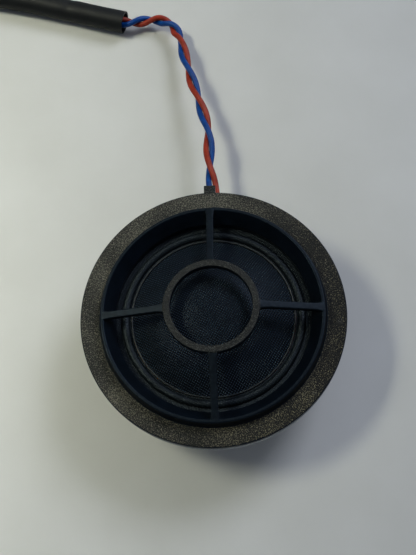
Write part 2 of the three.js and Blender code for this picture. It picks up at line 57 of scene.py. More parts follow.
camera = bpy.data.objects.new("camera", bpy.data.cameras.new("camera"))
scene.collection.objects.link(camera)
scene.camera = camera
camera.data.lens = 64.9
camera.data.sensor_width = 36
camera_azimuth = math.radians(8.34)
camera_elevation = math.radians(70.1)
camera_roll = math.radians(-10.29)
camera_back = Vector((
    math.sin(camera_azimuth) * math.cos(camera_elevation),
    -math.cos(camera_azimuth) * math.cos(camera_elevation),
    math.sin(camera_elevation),
))
camera.location = Vector((8.63, -56.46, 193.2)) * mm
camera.rotation_mode = "QUATERNION"
camera.rotation_quaternion = (
    (-camera_back).to_track_quat("-Z", "Y") @ Quaternion((0, 0, 1), camera_roll)
)
camera.data.clip_start = 0.005
camera.data.clip_end = 20


def colour(code):
    """An sRGB hex colour as linear red, green, blue and alpha."""
    channels = [int(code[i:i + 2], 16) / 255 for i in (1, 3, 5)]
    return [c / 12.92 if c <= 0.04045 else ((c + 0.055) / 1.055) ** 2.4 for c in channels] + [1.0]


def node(tree, kind, inputs=None, stops=(), **settings):
    """Adds a shader node, with its settings, and its inputs set to a value or linked to a socket.

    The stops of a colour ramp are positions, each with an sRGB hex colour.
    """
    made = tree.nodes.new(kind)
    for key, value in settings.items():
        setattr(made, key, value)
    for key, value in (inputs or {}).items():
        if isinstance(value, bpy.types.NodeSocket):
            tree.links.new(value, made.inputs[key])
        else:
            made.inputs[key].default_value = value
    for i, (position, code) in enumerate(stops):
        elements = made.color_ramp.elements
        element = elements[i] if i < len(elements) else elements.new(position)
        element.position = position
        element.color = colour(code)
    return made


def new_finish(name, **inputs):
    """A new material with one Principled shader: the material, its node tree and the shader."""
    made = bpy.data.materials.new(name)
    made.use_nodes = True
    tree = made.node_tree
    tree.nodes.clear()
    shader = node(tree, "ShaderNodeBsdfPrincipled", inputs)
    node(tree, "ShaderNodeOutputMaterial", {"Surface": shader.outputs["BSDF"]})
    return made, tree, shader


def place_coordinates(tree):
    """Object coordinates in millimetres, for patterns set out in real sizes."""
    source = node(tree, "ShaderNodeTexCoord").outputs["Object"]
    return node(tree, "ShaderNodeVectorMath", {0: source, 1: (1000, 1000, 1000)},
                operation="MULTIPLY").outputs["Vector"]


def patterned(finish, value, tones, relief=None, height=None):
    """Takes a finish's colour from a value, by a ramp of tones, and may raise its surface.

    A relief is a strength and a depth in metres, for a height that is the value unless given.
    """
    material, tree, shader = finish
    toned = node(tree, "ShaderNodeValToRGB", {"Fac": value}, stops=tones)
    tree.links.new(toned.outputs["Color"], shader.inputs["Base Color"])
    if relief:
        strength, depth = relief
        raised = node(tree, "ShaderNodeBump", {
            "Strength": strength, "Distance": depth,
            "Height": value if height is None else height})
        tree.links.new(raised.outputs["Normal"], shader.inputs["Normal"])
    return material


def mottled(finish, noise, tones, relief=None, relief_noise=None):
    """A finish broken up by a noise, or by two, with scales for coordinates in millimetres."""
    tree = finish[1]
    coordinates = place_coordinates(tree)
    patches = node(tree, "ShaderNodeTexNoise", {"Vector": coordinates, **noise})
    bumps = patches
    if relief_noise:
        bumps = node(tree, "ShaderNodeTexNoise", {"Vector": coordinates, **relief_noise})
    return patterned(finish, patches.outputs["Fac"], tones, relief, bumps.outputs["Fac"])


# Satin laminate: a pale board with a faint orange peel that gives soft, broken reflections.
laminate = mottled(
    new_finish("satin_laminate", **{"Roughness": 0.38, "IOR": 1.45}),
    {"Scale": 0.05, "Detail": 5.0}, [(0.3, "#c3c2be"), (0.7, "#cac9c6")],
    relief=(0.06, 0.0002), relief_noise={"Scale": 0.6, "Detail": 3.0})

table_half = 1.5
table_mesh = bpy.data.meshes.new("table")
table_mesh.from_pydata(
    [(x * table_half, y * table_half, 0) for x, y in ((-1, -1), (1, -1), (1, 1), (-1, 1))],
    [], [(0, 1, 2, 3)])
table_top = bpy.data.objects.new("table", table_mesh)
table_top.data.materials.append(laminate)
scene.collection.objects.link(table_top)


def soft_light(name, place, aim, size, power, tint, spread_degrees=180):
    """A square area light, in metres and watts, at a place and facing an aim."""
    lamp = bpy.data.lights.new(name, "AREA")
    lamp.size = size
    lamp.energy = power
    lamp.color = colour(tint)[:3]
    lamp.spread = math.radians(spread_degrees)
    made = bpy.data.objects.new(name, lamp)
    made.location = place
    made.rotation_mode = "QUATERNION"
    made.rotation_quaternion = (Vector(aim) - Vector(place)).to_track_quat("-Z", "Y")
    scene.collection.objects.link(made)


soft_light("window_behind_right", (0.50, 0.58, 0.72), (0, 0, 0), 0.40, 5.3, "#e9f0ff")
soft_light("lamp_left", (-0.42, 0.12, 0.48), (-0.15, 0.04, 0), 0.24, 0.20, "#fdffe6", 27)
soft_light("lamp_right", (0.80, 0.10, 0.46), (0, 0, 0), 0.20, 0.5, "#e6eeff")

surroundings = bpy.data.worlds.new("room")
scene.world = surroundings
surroundings.use_nodes = True
background = surroundings.node_tree.nodes["Background"]
background.inputs["Color"].default_value = colour("#bac6d6")
background.inputs["Strength"].default_value = 0.26


# ---- Front bezel -------------------------------------------------------------------------------
# One injection moulding in black ABS: flange, key tab, collar, cone, spokes, guard ring and a
# rear skirt with snap windows. The listener's faces are spark-eroded, and the rest is plain.

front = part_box("front_bezel")
gasket_low, gasket_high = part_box("mounting_gasket")
flange_rear_z = gasket_high.z / mm
flange_t = 1.2
flange_z = flange_rear_z + flange_t
guard_top_z = front[1].z / mm
flange_r = front[1].x / mm


def rounded(corners, steps=4):
    """A closed outline of (u, v, radius) corners, each rounded by an arc of its radius."""
    outline = []
    for i, (u, v, radius) in enumerate(corners):
        corner = Vector((u, v))
        before = Vector(corners[i - 1][:2]) - corner
        after = Vector(corners[(i + 1) % len(corners)][:2]) - corner
        if radius <= 0:
            outline.append((u, v))
            continue
        half = before.angle(after) / 2
        reach = radius / math.tan(half)
        centre = corner + (before.normalized() + after.normalized()).normalized() * (
            radius / math.sin(half))
        first = corner + before.normalized() * reach - centre
        last = corner + after.normalized() * reach - centre
        sweep = first.angle_signed(last)
        for k in range(steps + 1):
            turned_by = Matrix.Rotation(-sweep * k / steps, 2)
            outline.append(tuple(centre + turned_by @ first))
    return outline


def mesh_piece(name, vertices, faces, *materials):
    """A mesh object from millimetre points, smooth but for its sharp edges, with materials."""
    mesh = bpy.data.meshes.new(name)
    mesh.from_pydata([Vector(v) * mm for v in vertices], [], faces)
    made = bpy.data.objects.new(name, mesh)
    scene.collection.objects.link(made)
    for material in materials:
        mesh.materials.append(material)
    work = bmesh.new()
    work.from_mesh(mesh)
    bmesh.ops.remove_doubles(work, verts=work.verts, dist=1e-7)
    bmesh.ops.recalc_face_normals(work, faces=work.faces)
    work.to_mesh(mesh)
    work.free()
    smooth(made)
    return made


def smooth(made, sharp_degrees=38):
    """Smooth shading, with edges past an angle left sharp."""
    made.data.shade_smooth()
    made.data.set_sharp_from_angle(angle=math.radians(sharp_degrees))
    return made


def turned(name, outline, segments, *materials):
    """A solid turned about Z from an outline of (radius, height) points, closed on itself."""
    count = len(outline)
    vertices, faces = [], []
    for s in range(segments):
        angle = 2 * math.pi * s / segments
        vertices += [(r * math.cos(angle), r * math.sin(angle), z) for r, z in outline]
    for s in range(segments):
        here, there = s * count, (s + 1) % segments * count
        for i in range(count):
            j = (i + 1) % count
            if outline[i][0] < 1e-6 and outline[j][0] < 1e-6:
                continue
            faces.append((here + i, here + j, there + j, there + i))
    return mesh_piece(name, vertices, faces, *materials)


def lofted(name, rings, *materials):
    """A solid through rings of points, all of one count, with a flat cap on each end."""
    count = len(rings[0])
    vertices = [point for ring in rings for point in ring]
    faces = [tuple(range(count)),
             tuple(reversed(range(len(vertices) - count, len(vertices))))]
    for k in range(len(rings) - 1):
        for i in range(count):
            j = (i + 1) % count
            faces.append((k * count + i, k * count + j, (k + 1) * count + j, (k + 1) * count + i))
    return mesh_piece(name, vertices, faces, *materials)


def rounded_block(name, low, high, radius, *materials):
    """A block between two corners, with all its edges rounded."""
    size = Vector(high) - Vector(low)
    middle = (Vector(high) + Vector(low)) / 2
    work = bmesh.new()
    bmesh.ops.create_cube(work, size=1)
    for v in work.verts:
        v.co = Vector(a * b for a, b in zip(v.co, size)) + middle
    if radius > 0:
        bmesh.ops.bevel(work, geom=list(work.edges), offset=radius, segments=3, profile=0.5,
                        affect="EDGES")
    mesh = bpy.data.meshes.new(name)
    for v in work.verts:
        v.co *= mm
    work.to_mesh(mesh)
    work.free()
    made = bpy.data.objects.new(name, mesh)
    scene.collection.objects.link(made)
    for material in materials:
        mesh.materials.append(material)
    return smooth(made)


def combine(base, others, operation):
    """Joins other solids to a base, or cuts them from it, and removes them."""
    for other in others:
        step = base.modifiers.new("join", "BOOLEAN")
        step.operation = operation
        step.solver = "EXACT"
        step.object = other
    bpy.context.view_layer.update()
    result = bpy.data.meshes.new_from_object(
        base.evaluated_get(bpy.context.evaluated_depsgraph_get()))
    base.modifiers.clear()
    base.data = result
    for other in others:
        bpy.data.objects.remove(other)
    return base


# Spark-eroded ABS: a coarse matt grain whose facets catch the light as warm grey specks. The
# real grain is about 0.1 mm, drawn here twice as coarse so that it shows.
spark_grain_mm = 0.19
spark_abs, tree, shader = new_finish("spark_eroded_black_abs", **{
    "Roughness": 0.62, "IOR": 1.53, "Specular IOR Level": 0.2})
coordinates = place_coordinates(tree)
grit = node(tree, "ShaderNodeTexNoise", {
    "Vector": coordinates, "Scale": 1 / spark_grain_mm, "Detail": 3.0, "Roughness": 0.62})
fleck_mm = 1.15 * spark_grain_mm
flecks = node(tree, "ShaderNodeTexVoronoi", {
    "Vector": coordinates, "Scale": 1 / fleck_mm, "Randomness": 1.0})
patches = node(tree, "ShaderNodeTexNoise", {"Vector": coordinates, "Scale": 0.11, "Detail": 2.0})
mixed = node(tree, "ShaderNodeMath", {0: grit.outputs["Fac"], 1: 0.72}, operation="MULTIPLY")
fleck_part = node(tree, "ShaderNodeMath", {0: flecks.outputs["Distance"], 1: 0.30},
                  operation="MULTIPLY")
patch_part = node(tree, "ShaderNodeMath", {0: patches.outputs["Fac"], 1: 0.26},
                  operation="MULTIPLY_ADD")
tree.links.new(fleck_part.outputs[0], patch_part.inputs[2])
height = node(tree, "ShaderNodeMath", {0: mixed.outputs[0], 1: patch_part.outputs[0]})

# Painted shade: towards +X and -Y the ground is painted darker and its specks stand out more,
# as that side of the flange takes less light.
shade_towards = Vector((0.8, -0.6, 0.0))
lit_grain, shaded_grain = [
    node(tree, "ShaderNodeValToRGB", {"Fac": height.outputs[0]}, stops=stops).outputs["Color"]
    for stops in ([(0.48, "#0d0e0d"), (0.58, "#1d1e1c"), (0.67, "#37362f"), (0.76, "#6d6a5e")],
                  [(0.53, "#040504"), (0.62, "#0a0b0a"), (0.70, "#23211b"), (0.78, "#716b54")])]
across_face = node(tree, "ShaderNodeVectorMath", {0: coordinates, 1: shade_towards},
                   operation="DOT_PRODUCT").outputs["Value"]
shade_share = node(tree, "ShaderNodeMapRange", {"Value": across_face, "From Min": -14.0,
                                         "From Max": 21.0}).outputs["Result"]
# The painted shade's share blends the lit tones into the shaded ones.
grain_tone = node(tree, "ShaderNodeMix", {0: shade_share, 6: lit_grain, 7: shaded_grain},
                  data_type="RGBA").outputs[2]
pits = node(tree, "ShaderNodeBump", {"Strength": 0.85, "Distance": 0.00022,
                                     "Height": height.outputs[0]})
tree.links.new(pits.outputs["Normal"], shader.inputs["Normal"])

# Scuffs where the rim has rubbed: pale grey, broken up by the grain, at (x, y) places in mm.
rubbed = grain_tone
bright_grains = node(tree, "ShaderNodeMapRange", {
    "Value": grit.outputs["Fac"], "From Min": 0.52, "From Max": 0.66}).outputs["Result"]
for x, y, reach in ((-21.3, -12.4, 1.7), (23.6, -2.2, 0.8), (18.0, -15.6, 0.7)):
    distance = node(tree, "ShaderNodeVectorMath", {0: coordinates, 1: (x, y, flange_z)},
                    operation="DISTANCE").outputs["Value"]
    nearness = node(tree, "ShaderNodeMapRange", {"Value": distance, "From Min": reach,
                                                 "From Max": 0.0}).outputs["Result"]
    patchy = node(tree, "ShaderNodeMath", {0: nearness, 1: bright_grains},
                  operation="MULTIPLY").outputs[0]
    rubbed = node(tree, "ShaderNodeMix", {0: patchy, 6: rubbed, 7: colour("#7d7a70")},
                  data_type="RGBA").outputs[2]
tree.links.new(rubbed, shader.inputs["Base Color"])

# Fine-eroded ABS on the guard: the same grain at half the depth, so it is darker and colder.
fine_abs = mottled(
    new_finish("fine_eroded_black_abs", **{
        "Roughness": 0.5, "IOR": 1.53, "Specular IOR Level": 0.22}),
    {"Scale": 1 / spark_grain_mm, "Detail": 3.0, "Roughness": 0.6},
    [(0.44, "#030404"), (0.53, "#0a0c0c"), (0.64, "#4b4d48")], relief=(0.5, 0.00012))

# Polished ABS on the spokes: the steel there was polished so that the bars would release, and
# each one is as bright as what it faces.
spoke_abs = mottled(
    new_finish("polished_black_abs", **{
        "Roughness": 0.48, "IOR": 1.53, "Specular IOR Level": 0.15,
        "Specular Tint": colour("#cfe4ff")}),
    {"Scale": 1.4, "Detail": 4.0}, [(0.35, "#070b0f"), (0.7, "#131a1f")],
    relief=(0.3, 0.00012))

# Plain moulded ABS: satin, near black with a cold cast, from a stoned steel mould.
plain_abs = mottled(
    new_finish("satin_black_abs", **{
        "Roughness": 0.38, "IOR": 1.53, "Specular IOR Level": 0.22,
        "Specular Tint": colour("#bfe0ff")}),
    {"Scale": 0.35, "Detail": 4.0}, [(0.35, "#02050a"), (0.7, "#060c14")],
    relief=(0.25, 0.0001), relief_noise={"Scale": 3.5, "Detail": 3.0})

cone_edge_r, cone_edge_z, land_z = 18.4, flange_z - 0.45, flange_z - 2.0
skirt_inner_r, skirt_outer_r, skirt_bottom_z = 18.95, 20.0, 8.5
opening_r, collar_top_r, collar_foot_r = 20.3, 20.9, 21.3
collar_top_z = flange_z + 2.1
guard_inner_r, guard_outer_r, guard_depth = 7.55, 8.9, 1.5
round_facets, ring_facets = 192, 96

bezel = turned("front_bezel_moulding", rounded([
    (cone_edge_r, land_z, 0), (skirt_inner_r, land_z, 0), (skirt_inner_r, skirt_bottom_z, 0.08),
    (skirt_outer_r, skirt_bottom_z, 0.15), (skirt_outer_r, flange_rear_z, 0.2),
    (flange_r, flange_rear_z, 0.15), (flange_r, flange_z, 0.28),
    (collar_foot_r, flange_z, 0.2), (collar_top_r, collar_top_z, 0.28),
    (opening_r, collar_top_z, 0.2), (cone_edge_r, cone_edge_z, 0.12)]),
    round_facets, spark_abs, plain_abs, fine_abs, spoke_abs)
guard_ring = turned("guard_ring", rounded([
    (guard_inner_r, guard_top_z - guard_depth, 0.12),
    (guard_outer_r, guard_top_z - guard_depth, 0.12),
    (guard_outer_r, guard_top_z, 0.2), (guard_inner_r, guard_top_z, 0.2)]), ring_facets)

spoke_half_w, spoke_root, spoke_root_reach = 0.7, 0.28, 0.45
spoke_draft, spoke_foot_round, spoke_top_round = 0.08, 0.25, 0.22
spoke_start, spoke_end = guard_outer_r - 0.5, opening_r + 0.35


def spoke_ring(r, angle):
    """One section of a spoke at a radius: a rounded bar that widens into its roots."""
    share = (r - spoke_start) / (spoke_end - spoke_start)
    top = guard_top_z + (collar_top_z - guard_top_z) * share
    near = min(abs(r - guard_outer_r), abs(r - opening_r))
    half = spoke_half_w + spoke_root * math.exp(-near / spoke_root_reach)
    foot, low = half - spoke_draft, top - guard_depth
    section = rounded([
        (-foot, low, spoke_foot_round), (foot, low, spoke_foot_round),
        (half, top, spoke_top_round), (-half, top, spoke_top_round)], steps=3)
    turn = Matrix.Rotation(angle, 3, "Z")
    return [tuple(turn @ Vector((r, u, v))) for u, v in section]


spoke_stations = 22
radii = [spoke_start + (spoke_end - spoke_start) * k / spoke_stations
         for k in range(spoke_stations + 1)]
spokes = [lofted(f"spoke_{i}", [spoke_ring(r, math.pi / 2 * i) for r in radii])
          for i in range(4)]

# A hair of space keeps one solid's face from lying in another's, which a join can't settle.
hair = 0.001
tab_half_w, tab_root, tab_reach, tab_round = 1.125, 1.0, 1.5, 0.14
key_tab = rounded_block("key_tab", (-tab_half_w, flange_r - tab_root, flange_rear_z + hair),
                        (tab_half_w, flange_r + tab_reach, flange_z - hair), tab_round)
combine(bezel, [guard_ring, *spokes, key_tab], "UNION")

# The cuts that the rear housing's outlet box and hooks go into are bigger than them by a gap.
outlet_half_w, outlet_half_h, outlet_z = 7.0, 3.2, 8.0
snap_gap, notch_inner_y, notch_outer_y = 0.1, 5.0, 22.0
outlet_notch = rounded_block(
    "notch", (-outlet_half_w - snap_gap, notch_inner_y, skirt_bottom_z - 2.0),
    (outlet_half_w + snap_gap, notch_outer_y, outlet_z + outlet_half_h + snap_gap), 0.0)
hook_middle_z, hook_half_h, hook_half_w = 9.875, 0.6, 2.3
hook_inner_r, window_outer_r = 18.6, 21.0
hook_turns = [0, math.pi, -math.pi / 2]


def hook_block(name, turn, inner, outer, grow, radius):
    """The block of one snap hook, turned to its place and grown all round."""
    made = rounded_block(name, (inner, -hook_half_w - grow, hook_middle_z - hook_half_h - grow),
                         (outer, hook_half_w + grow, hook_middle_z + hook_half_h + grow), radius)
    made.data.transform(Matrix.Rotation(turn, 4, "Z"))
    return made


windows = [hook_block(f"window_{i}", turn, hook_inner_r, window_outer_r, snap_gap, 0.0)
           for i, turn in enumerate(hook_turns)]
combine(bezel, [outlet_notch, *windows], "DIFFERENCE")

# Each face takes the finish of its stretch of the mould. The margins, in mm, put a face that
# lies across a border on one side of it.
SPARK, PLAIN, FINE, SPOKE = range(4)
facing_out, level = 0.6, 0.95
for face in bezel.data.polygons:
    x, y, height_z = face.center / mm
    across_r = math.hypot(x, y)
    if across_r < opening_r - 0.1:
        on_guard = height_z > flange_z + 0.2 and across_r < guard_outer_r + 0.1
        on_spoke = min(abs(x), abs(y)) < spoke_half_w + spoke_root and height_z > flange_z - 0.2
        face.material_index = (
            FINE if on_guard and face.normal.z > facing_out else SPOKE if on_spoke else PLAIN)
    elif face.normal.z < level:
        face.material_index = PLAIN
    elif height_z > flange_z + 0.1:
        face.material_index = SPOKE
    else:
        face.material_index = FINE if across_r > flange_r + 0.05 else SPARK
smooth(bezel, sharp_degrees=32)
weighted = bezel.modifiers.new("flat_faces_stay_flat", "WEIGHTED_NORMAL")
weighted.keep_sharp = True
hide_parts("front_bezel")
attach(bezel, "root")


# ---- Mounting gasket ---------------------------------------------------------------------------
# A die-cut ring of light grey closed-cell foam with adhesive on one face. It is stuck behind the
# flange, and seals it to the panel.

# Closed-cell foam: a matt, cut skin of open bubbles, each with a dark floor and a pale rim.
foam_cell_mm = 0.35
finish = new_finish("closed_cell_foam", **{"Roughness": 0.9, "IOR": 1.4})
tree = finish[1]
cells = node(tree, "ShaderNodeTexVoronoi", {"Vector": place_coordinates(tree),
                                            "Scale": 1 / foam_cell_mm})
foam = patterned(finish, cells.outputs["Distance"], [(0.1, "#7f8385"), (0.7, "#adb1b3")],
                 relief=(0.6, 0.0001))

gasket_r, gasket_bore = gasket_high.x / mm - 0.1, 21.6
gasket = turned("foam_gasket", rounded([
    (gasket_bore, gasket_low.z / mm, 0.25), (gasket_r, gasket_low.z / mm, 0.3),
    (gasket_r, gasket_high.z / mm, 0.15), (gasket_bore, gasket_high.z / mm, 0.15)]),
    round_facets, foam)
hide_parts("mounting_gasket")
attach(gasket, "root")


# ---- Dome --------------------------------------------------------------------------------------
# Woven cloth, hot-pressed to a shallow dome and coated with damping lacquer. Its edge is turned
# up in a thin bead over the voice coil former that it is glued to.

thread_mm = 0.42
weave_angle = math.radians(32)


def woven(tree):
    """The weave's own coordinates, and its height from 0 in the gaps to 1 on the crossings."""
    turned_cloth = node(tree, "ShaderNodeVectorRotate", {
        "Vector": place_coordinates(tree), "Angle": weave_angle},
        rotation_type="Z_AXIS").outputs[0]
    warp, weft = [
        node(tree, "ShaderNodeTexWave", {
            "Vector": turned_cloth, "Scale": math.pi / (10 * thread_mm), "Distortion": 0.4,
            "Detail": 1.0}, wave_type="BANDS", bands_direction=direction, wave_profile="SIN")
        for direction in "XY"]
    crossings = node(tree, "ShaderNodeMath", {0: warp.outputs["Fac"], 1: weft.outputs["Fac"]},
                     operation="MULTIPLY")
    return turned_cloth, crossings.outputs[0]


# Lacquered weave: soft black with a cold sheen on each thread. The threads are about 0.15 mm
# apart, drawn at 0.42 mm so that they show.
finish = new_finish("lacquered_black_weave", **{
    "Roughness": 0.38, "IOR": 1.46, "Specular IOR Level": 0.30,
    "Specular Tint": colour("#cfe0f4")})
tree = finish[1]
coordinates, weave = woven(tree)
lacquer = node(tree, "ShaderNodeTexNoise", {"Vector": coordinates, "Scale": 0.4, "Detail": 3.0})
thread_tone = node(tree, "ShaderNodeMath", {0: weave, 1: 0.75}, operation="MULTIPLY")
cloth_tone = node(tree, "ShaderNodeMath", {0: lacquer.outputs["Fac"], 1: 0.35,
                                           2: thread_tone.outputs[0]}, operation="MULTIPLY_ADD")
coated_cloth = patterned(finish, cloth_tone.outputs[0], [
    (0.2, "#010102"), (0.52, "#010203"), (0.85, "#33485a")], relief=(1.0, 0.0002), height=weave)

dome_edge_r, dome_rise, cloth_t = 15.2, 4.9, 0.25
dome_edge_z = land_z + 0.05
dome_sphere_r = (dome_edge_r ** 2 + dome_rise ** 2) / (2 * dome_rise)


def dome_height(r):
    """Height of the dome over its edge at a radius."""
    return math.sqrt(dome_sphere_r ** 2 - r ** 2) - (dome_sphere_r - dome_rise)


# Cured lacquer that has run to the edge: smooth, so the bead shows as a thin grey line.
edge_lacquer = mottled(
    new_finish("smooth_edge_lacquer", **{
        "Roughness": 0.45, "IOR": 1.5, "Specular IOR Level": 0.4}),
    {"Scale": 0.9, "Detail": 3.0}, [(0.35, "#15191b"), (0.65, "#262b2d")])

dome_steps, cloth_facets = 36, 160
bead_h, bead_round, bead_outer_r = 0.34, 0.1, dome_edge_r + 0.35
radii = [dome_edge_r * k / dome_steps for k in range(dome_steps + 1)]
outer_face = [(r, dome_edge_z + dome_height(r)) for r in radii]
bead = rounded([(dome_edge_r + 0.04, dome_edge_z, 0.0),
                (dome_edge_r + 0.09, dome_edge_z + bead_h, bead_round),
                (bead_outer_r - 0.03, dome_edge_z + bead_h, bead_round),
                (bead_outer_r, dome_edge_z - cloth_t, 0.0)])
inner_face = [(max(r - 0.05, 0.0), z - cloth_t) for r, z in reversed(outer_face)]
dome = turned("pressed_cloth_dome", outer_face + bead + inner_face, cloth_facets, coated_cloth,
              edge_lacquer)
bead_material = 1
for face in dome.data.polygons:
    x, y, height_z = face.center / mm
    if math.hypot(x, y) > dome_edge_r + 0.03 and height_z > dome_edge_z:
        face.material_index = bead_material
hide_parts("dome")
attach(dome, "moving_coil")


# ---- Surround ----------------------------------------------------------------------------------
# The same cloth, softened, pressed to a narrow half-roll that lets the coil move, with a flat
# land outside it that the bezel clamps on the mounting ring.

# The softener half fills the weave, so the roll is smoother than the dome and shines along its
# crest.
finish = new_finish("softened_black_cloth", **{
    "Roughness": 0.44, "IOR": 1.46, "Specular IOR Level": 0.34,
    "Specular Tint": colour("#d3e4f2")})
tree = finish[1]
ripple = node(tree, "ShaderNodeTexNoise", {"Vector": place_coordinates(tree), "Scale": 2.6,
                                           "Detail": 3.0})
filled_weave = node(tree, "ShaderNodeMath", {0: woven(tree)[1], 1: 0.45,
                                             2: ripple.outputs["Fac"]}, operation="MULTIPLY_ADD")
soft_cloth = patterned(finish, filled_weave.outputs[0], [
    (0.3, "#030507"), (0.62, "#080c0f"), (0.95, "#171e22")], relief=(0.7, 0.00012))

bead_r, roll_w, roll_h = 15.55, 1.6, 0.75
cloth_inner_r, roll_middle, surround_r = bead_r + 0.06, bead_r + 0.3 + roll_w / 2, 18.9
roll_steps, under_width = 14, 0.72
roll_top = [(roll_middle - roll_w / 2 * math.cos(math.pi * k / roll_steps),
             land_z + roll_h * math.sin(math.pi * k / roll_steps)) for k in range(roll_steps + 1)]
top_side = [(cloth_inner_r, land_z)] + roll_top + [(surround_r, land_z)]
under_side = [(surround_r, land_z - cloth_t)] + [
    (roll_middle + (r - roll_middle) * under_width, z - cloth_t)
    for r, z in reversed(roll_top)] + [(cloth_inner_r, land_z - cloth_t)]
surround = turned("half_roll_surround", top_side + under_side, cloth_facets, soft_cloth)
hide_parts("surround")
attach(surround, "root")


# ---- Surround mounting ring and chassis ring ---------------------------------------------------
# Two flat rings of black moulded nylon. The cloth is bonded to the thin one, and the thick one
# carries the motor, so that the coil stays centred while the glue sets.

# Moulded nylon: a satin black with a faint mottle, where it set at the mould's wall.
nylon = mottled(new_finish("black_nylon", **{"Roughness": 0.55, "IOR": 1.53}),
                {"Scale": 1.2, "Detail": 4.0}, [(0.3, "#121314"), (0.7, "#1f2021")])


def finish_nodes(material, *names):
    """Gives the CAD pieces of these names a material."""
    for name in names:
        cad[name].data.materials.clear()
        cad[name].data.materials.append(material)


finish_nodes(nylon, "surround_mounting_ring", "chassis_ring")


# ---- Voice coil --------------------------------------------------------------------------------
# Enamelled copper wire, wound in two layers on a former of rolled polyimide foil. The coil's two
# tinsel leads cross the yoke's rim in a notch and go down to the terminal strip.

# Polyimide foil: a clear amber film, a little deeper in tone where two layers overlap.
foil = mottled(new_finish("polyimide_foil", **{"Roughness": 0.28, "IOR": 1.7}),
               {"Scale": 0.8, "Detail": 2.0}, [(0.3, "#8a5a1c"), (0.7, "#b98a3c")])

# Enamelled copper: turns 0.12 mm apart, drawn 0.24 mm apart so that they show.
turn_pitch_mm = 0.24
finish = new_finish("enamelled_copper", **{"Roughness": 0.3, "Metallic": 1.0})
tree = finish[1]
turns = node(tree, "ShaderNodeTexWave", {
    "Vector": place_coordinates(tree), "Scale": math.pi / (10 * turn_pitch_mm),
    "Distortion": 0.2}, wave_type="BANDS", bands_direction="Z", wave_profile="SIN")
enamelled = patterned(finish, turns.outputs["Fac"], [(0.1, "#5a2810"), (0.7, "#c9713c")],
                      relief=(0.6, 0.00005))
finish_nodes(foil, "voice_coil_former")
finish_nodes(enamelled, "voice_coil_winding", "coil_lead_negative", "coil_lead_positive",
             "wire_core_blue", "wire_core_red")


# ---- Magnet system -----------------------------------------------------------------------------
# A nickel-plated neodymium disc between a mild steel pole plate and a zinc-plated pressed cup,
# glued on one axis, with a felt pad on the pole to damp the air behind the dome.


def plated(name, dark, light, roughness, grain_mm):
    """A metal with a fine mottled finish between two tones."""
    return mottled(new_finish(name, **{"Metallic": 1.0, "Roughness": roughness}),
                   {"Scale": 1 / grain_mm, "Detail": 5.0}, [(0.3, dark), (0.7, light)],
                   relief=(0.2, 0.00005))


# Turned steel is a satin grey, nickel plate a bright warm mirror, and zinc plate cold and dull.
finish_nodes(plated("turned_mild_steel", "#7e7f82", "#a2a3a5", 0.35, 0.6), "pole_plate")
finish_nodes(plated("bright_nickel_plate", "#b4b3ab", "#d0cfc8", 0.18, 2.5), "magnet")
finish_nodes(plated("clear_zinc_plate", "#94999c", "#b6bbbd", 0.4, 1.2), "yoke_cup")

# Pressed felt: short grey fibres, about 0.05 mm thick, drawn at 0.3 mm.
fibre_mm = 0.3
felt = mottled(
    new_finish("pressed_grey_felt", **{
        "Roughness": 1.0, "IOR": 1.4, "Sheen Weight": 0.4, "Sheen Roughness": 0.6}),
    {"Scale": 1 / fibre_mm, "Detail": 8.0, "Distortion": 1.5},
    [(0.3, "#333331"), (0.7, "#63625f")], relief=(0.9, 0.0001))
finish_nodes(felt, "damping_felt")


# ---- Terminal strip ----------------------------------------------------------------------------
# A strip of brown phenolic board with three tinned brass tags, riveted through eyelets. The
# coil's leads, the capacitor and the cable's cores are soldered to them.

# Phenolic board: resin-soaked brown paper, pressed flat, with a faint grain of the paper.
board = mottled(new_finish("phenolic_paper_board", **{"Roughness": 0.5, "IOR": 1.6}),
                {"Scale": 1.5, "Detail": 6.0, "Distortion": 0.6},
                [(0.3, "#5c3315"), (0.7, "#8e5a2a")])
finish_nodes(board, "terminal_board")

# Tin over brass is a soft straw grey, and solder that has flowed is brighter and colder.
tin = plated("tinned_brass", "#a39a7c", "#cfc7ab", 0.28, 0.8)
finish_nodes(tin, "tag_negative", "tag_input", "tag_positive",
             "connector_contact_blue", "connector_contact_red")
finish_nodes(plated("soft_solder", "#9a9ea1", "#c6cacd", 0.22, 0.5),
             "solder_negative", "solder_input", "solder_positive",
             "capacitor_lead_in", "capacitor_lead_out")


# ---- Filter capacitor --------------------------------------------------------------------------
# A small bipolar electrolytic in a shrunk PVC sleeve. It lies under the yoke, in series with
# the tweeter, to keep the low notes out.

# Shrunk PVC film: glossy dark blue, drawn tight over the can.
shrunk_pvc = mottled(
    new_finish("shrunk_pvc_sleeve", **{
        "Roughness": 0.25, "IOR": 1.53, "Coat Weight": 0.3, "Coat Roughness": 0.1}),
    {"Scale": 0.6, "Detail": 2.0}, [(0.3, "#162741"), (0.7, "#243d66")])
finish_nodes(shrunk_pvc, "filter_capacitor")


# ---- Rear housing ------------------------------------------------------------------------------
# A cup moulded in black ABS, with four ribs under the motor and three hooks that snap into the
# bezel's windows. A box at the top holds the terminal strip, and the cable leaves through it.

# Textured ABS: an etched leather grain of about 0.4 mm that hides handling marks.
skin_grain_mm = 0.4
housing_abs = mottled(
    new_finish("textured_black_abs", **{"Roughness": 0.48, "IOR": 1.53}),
    {"Scale": 1 / skin_grain_mm, "Detail": 4.0}, [(0.3, "#131415"), (0.7, "#242526")],
    relief=(0.4, 0.00008))

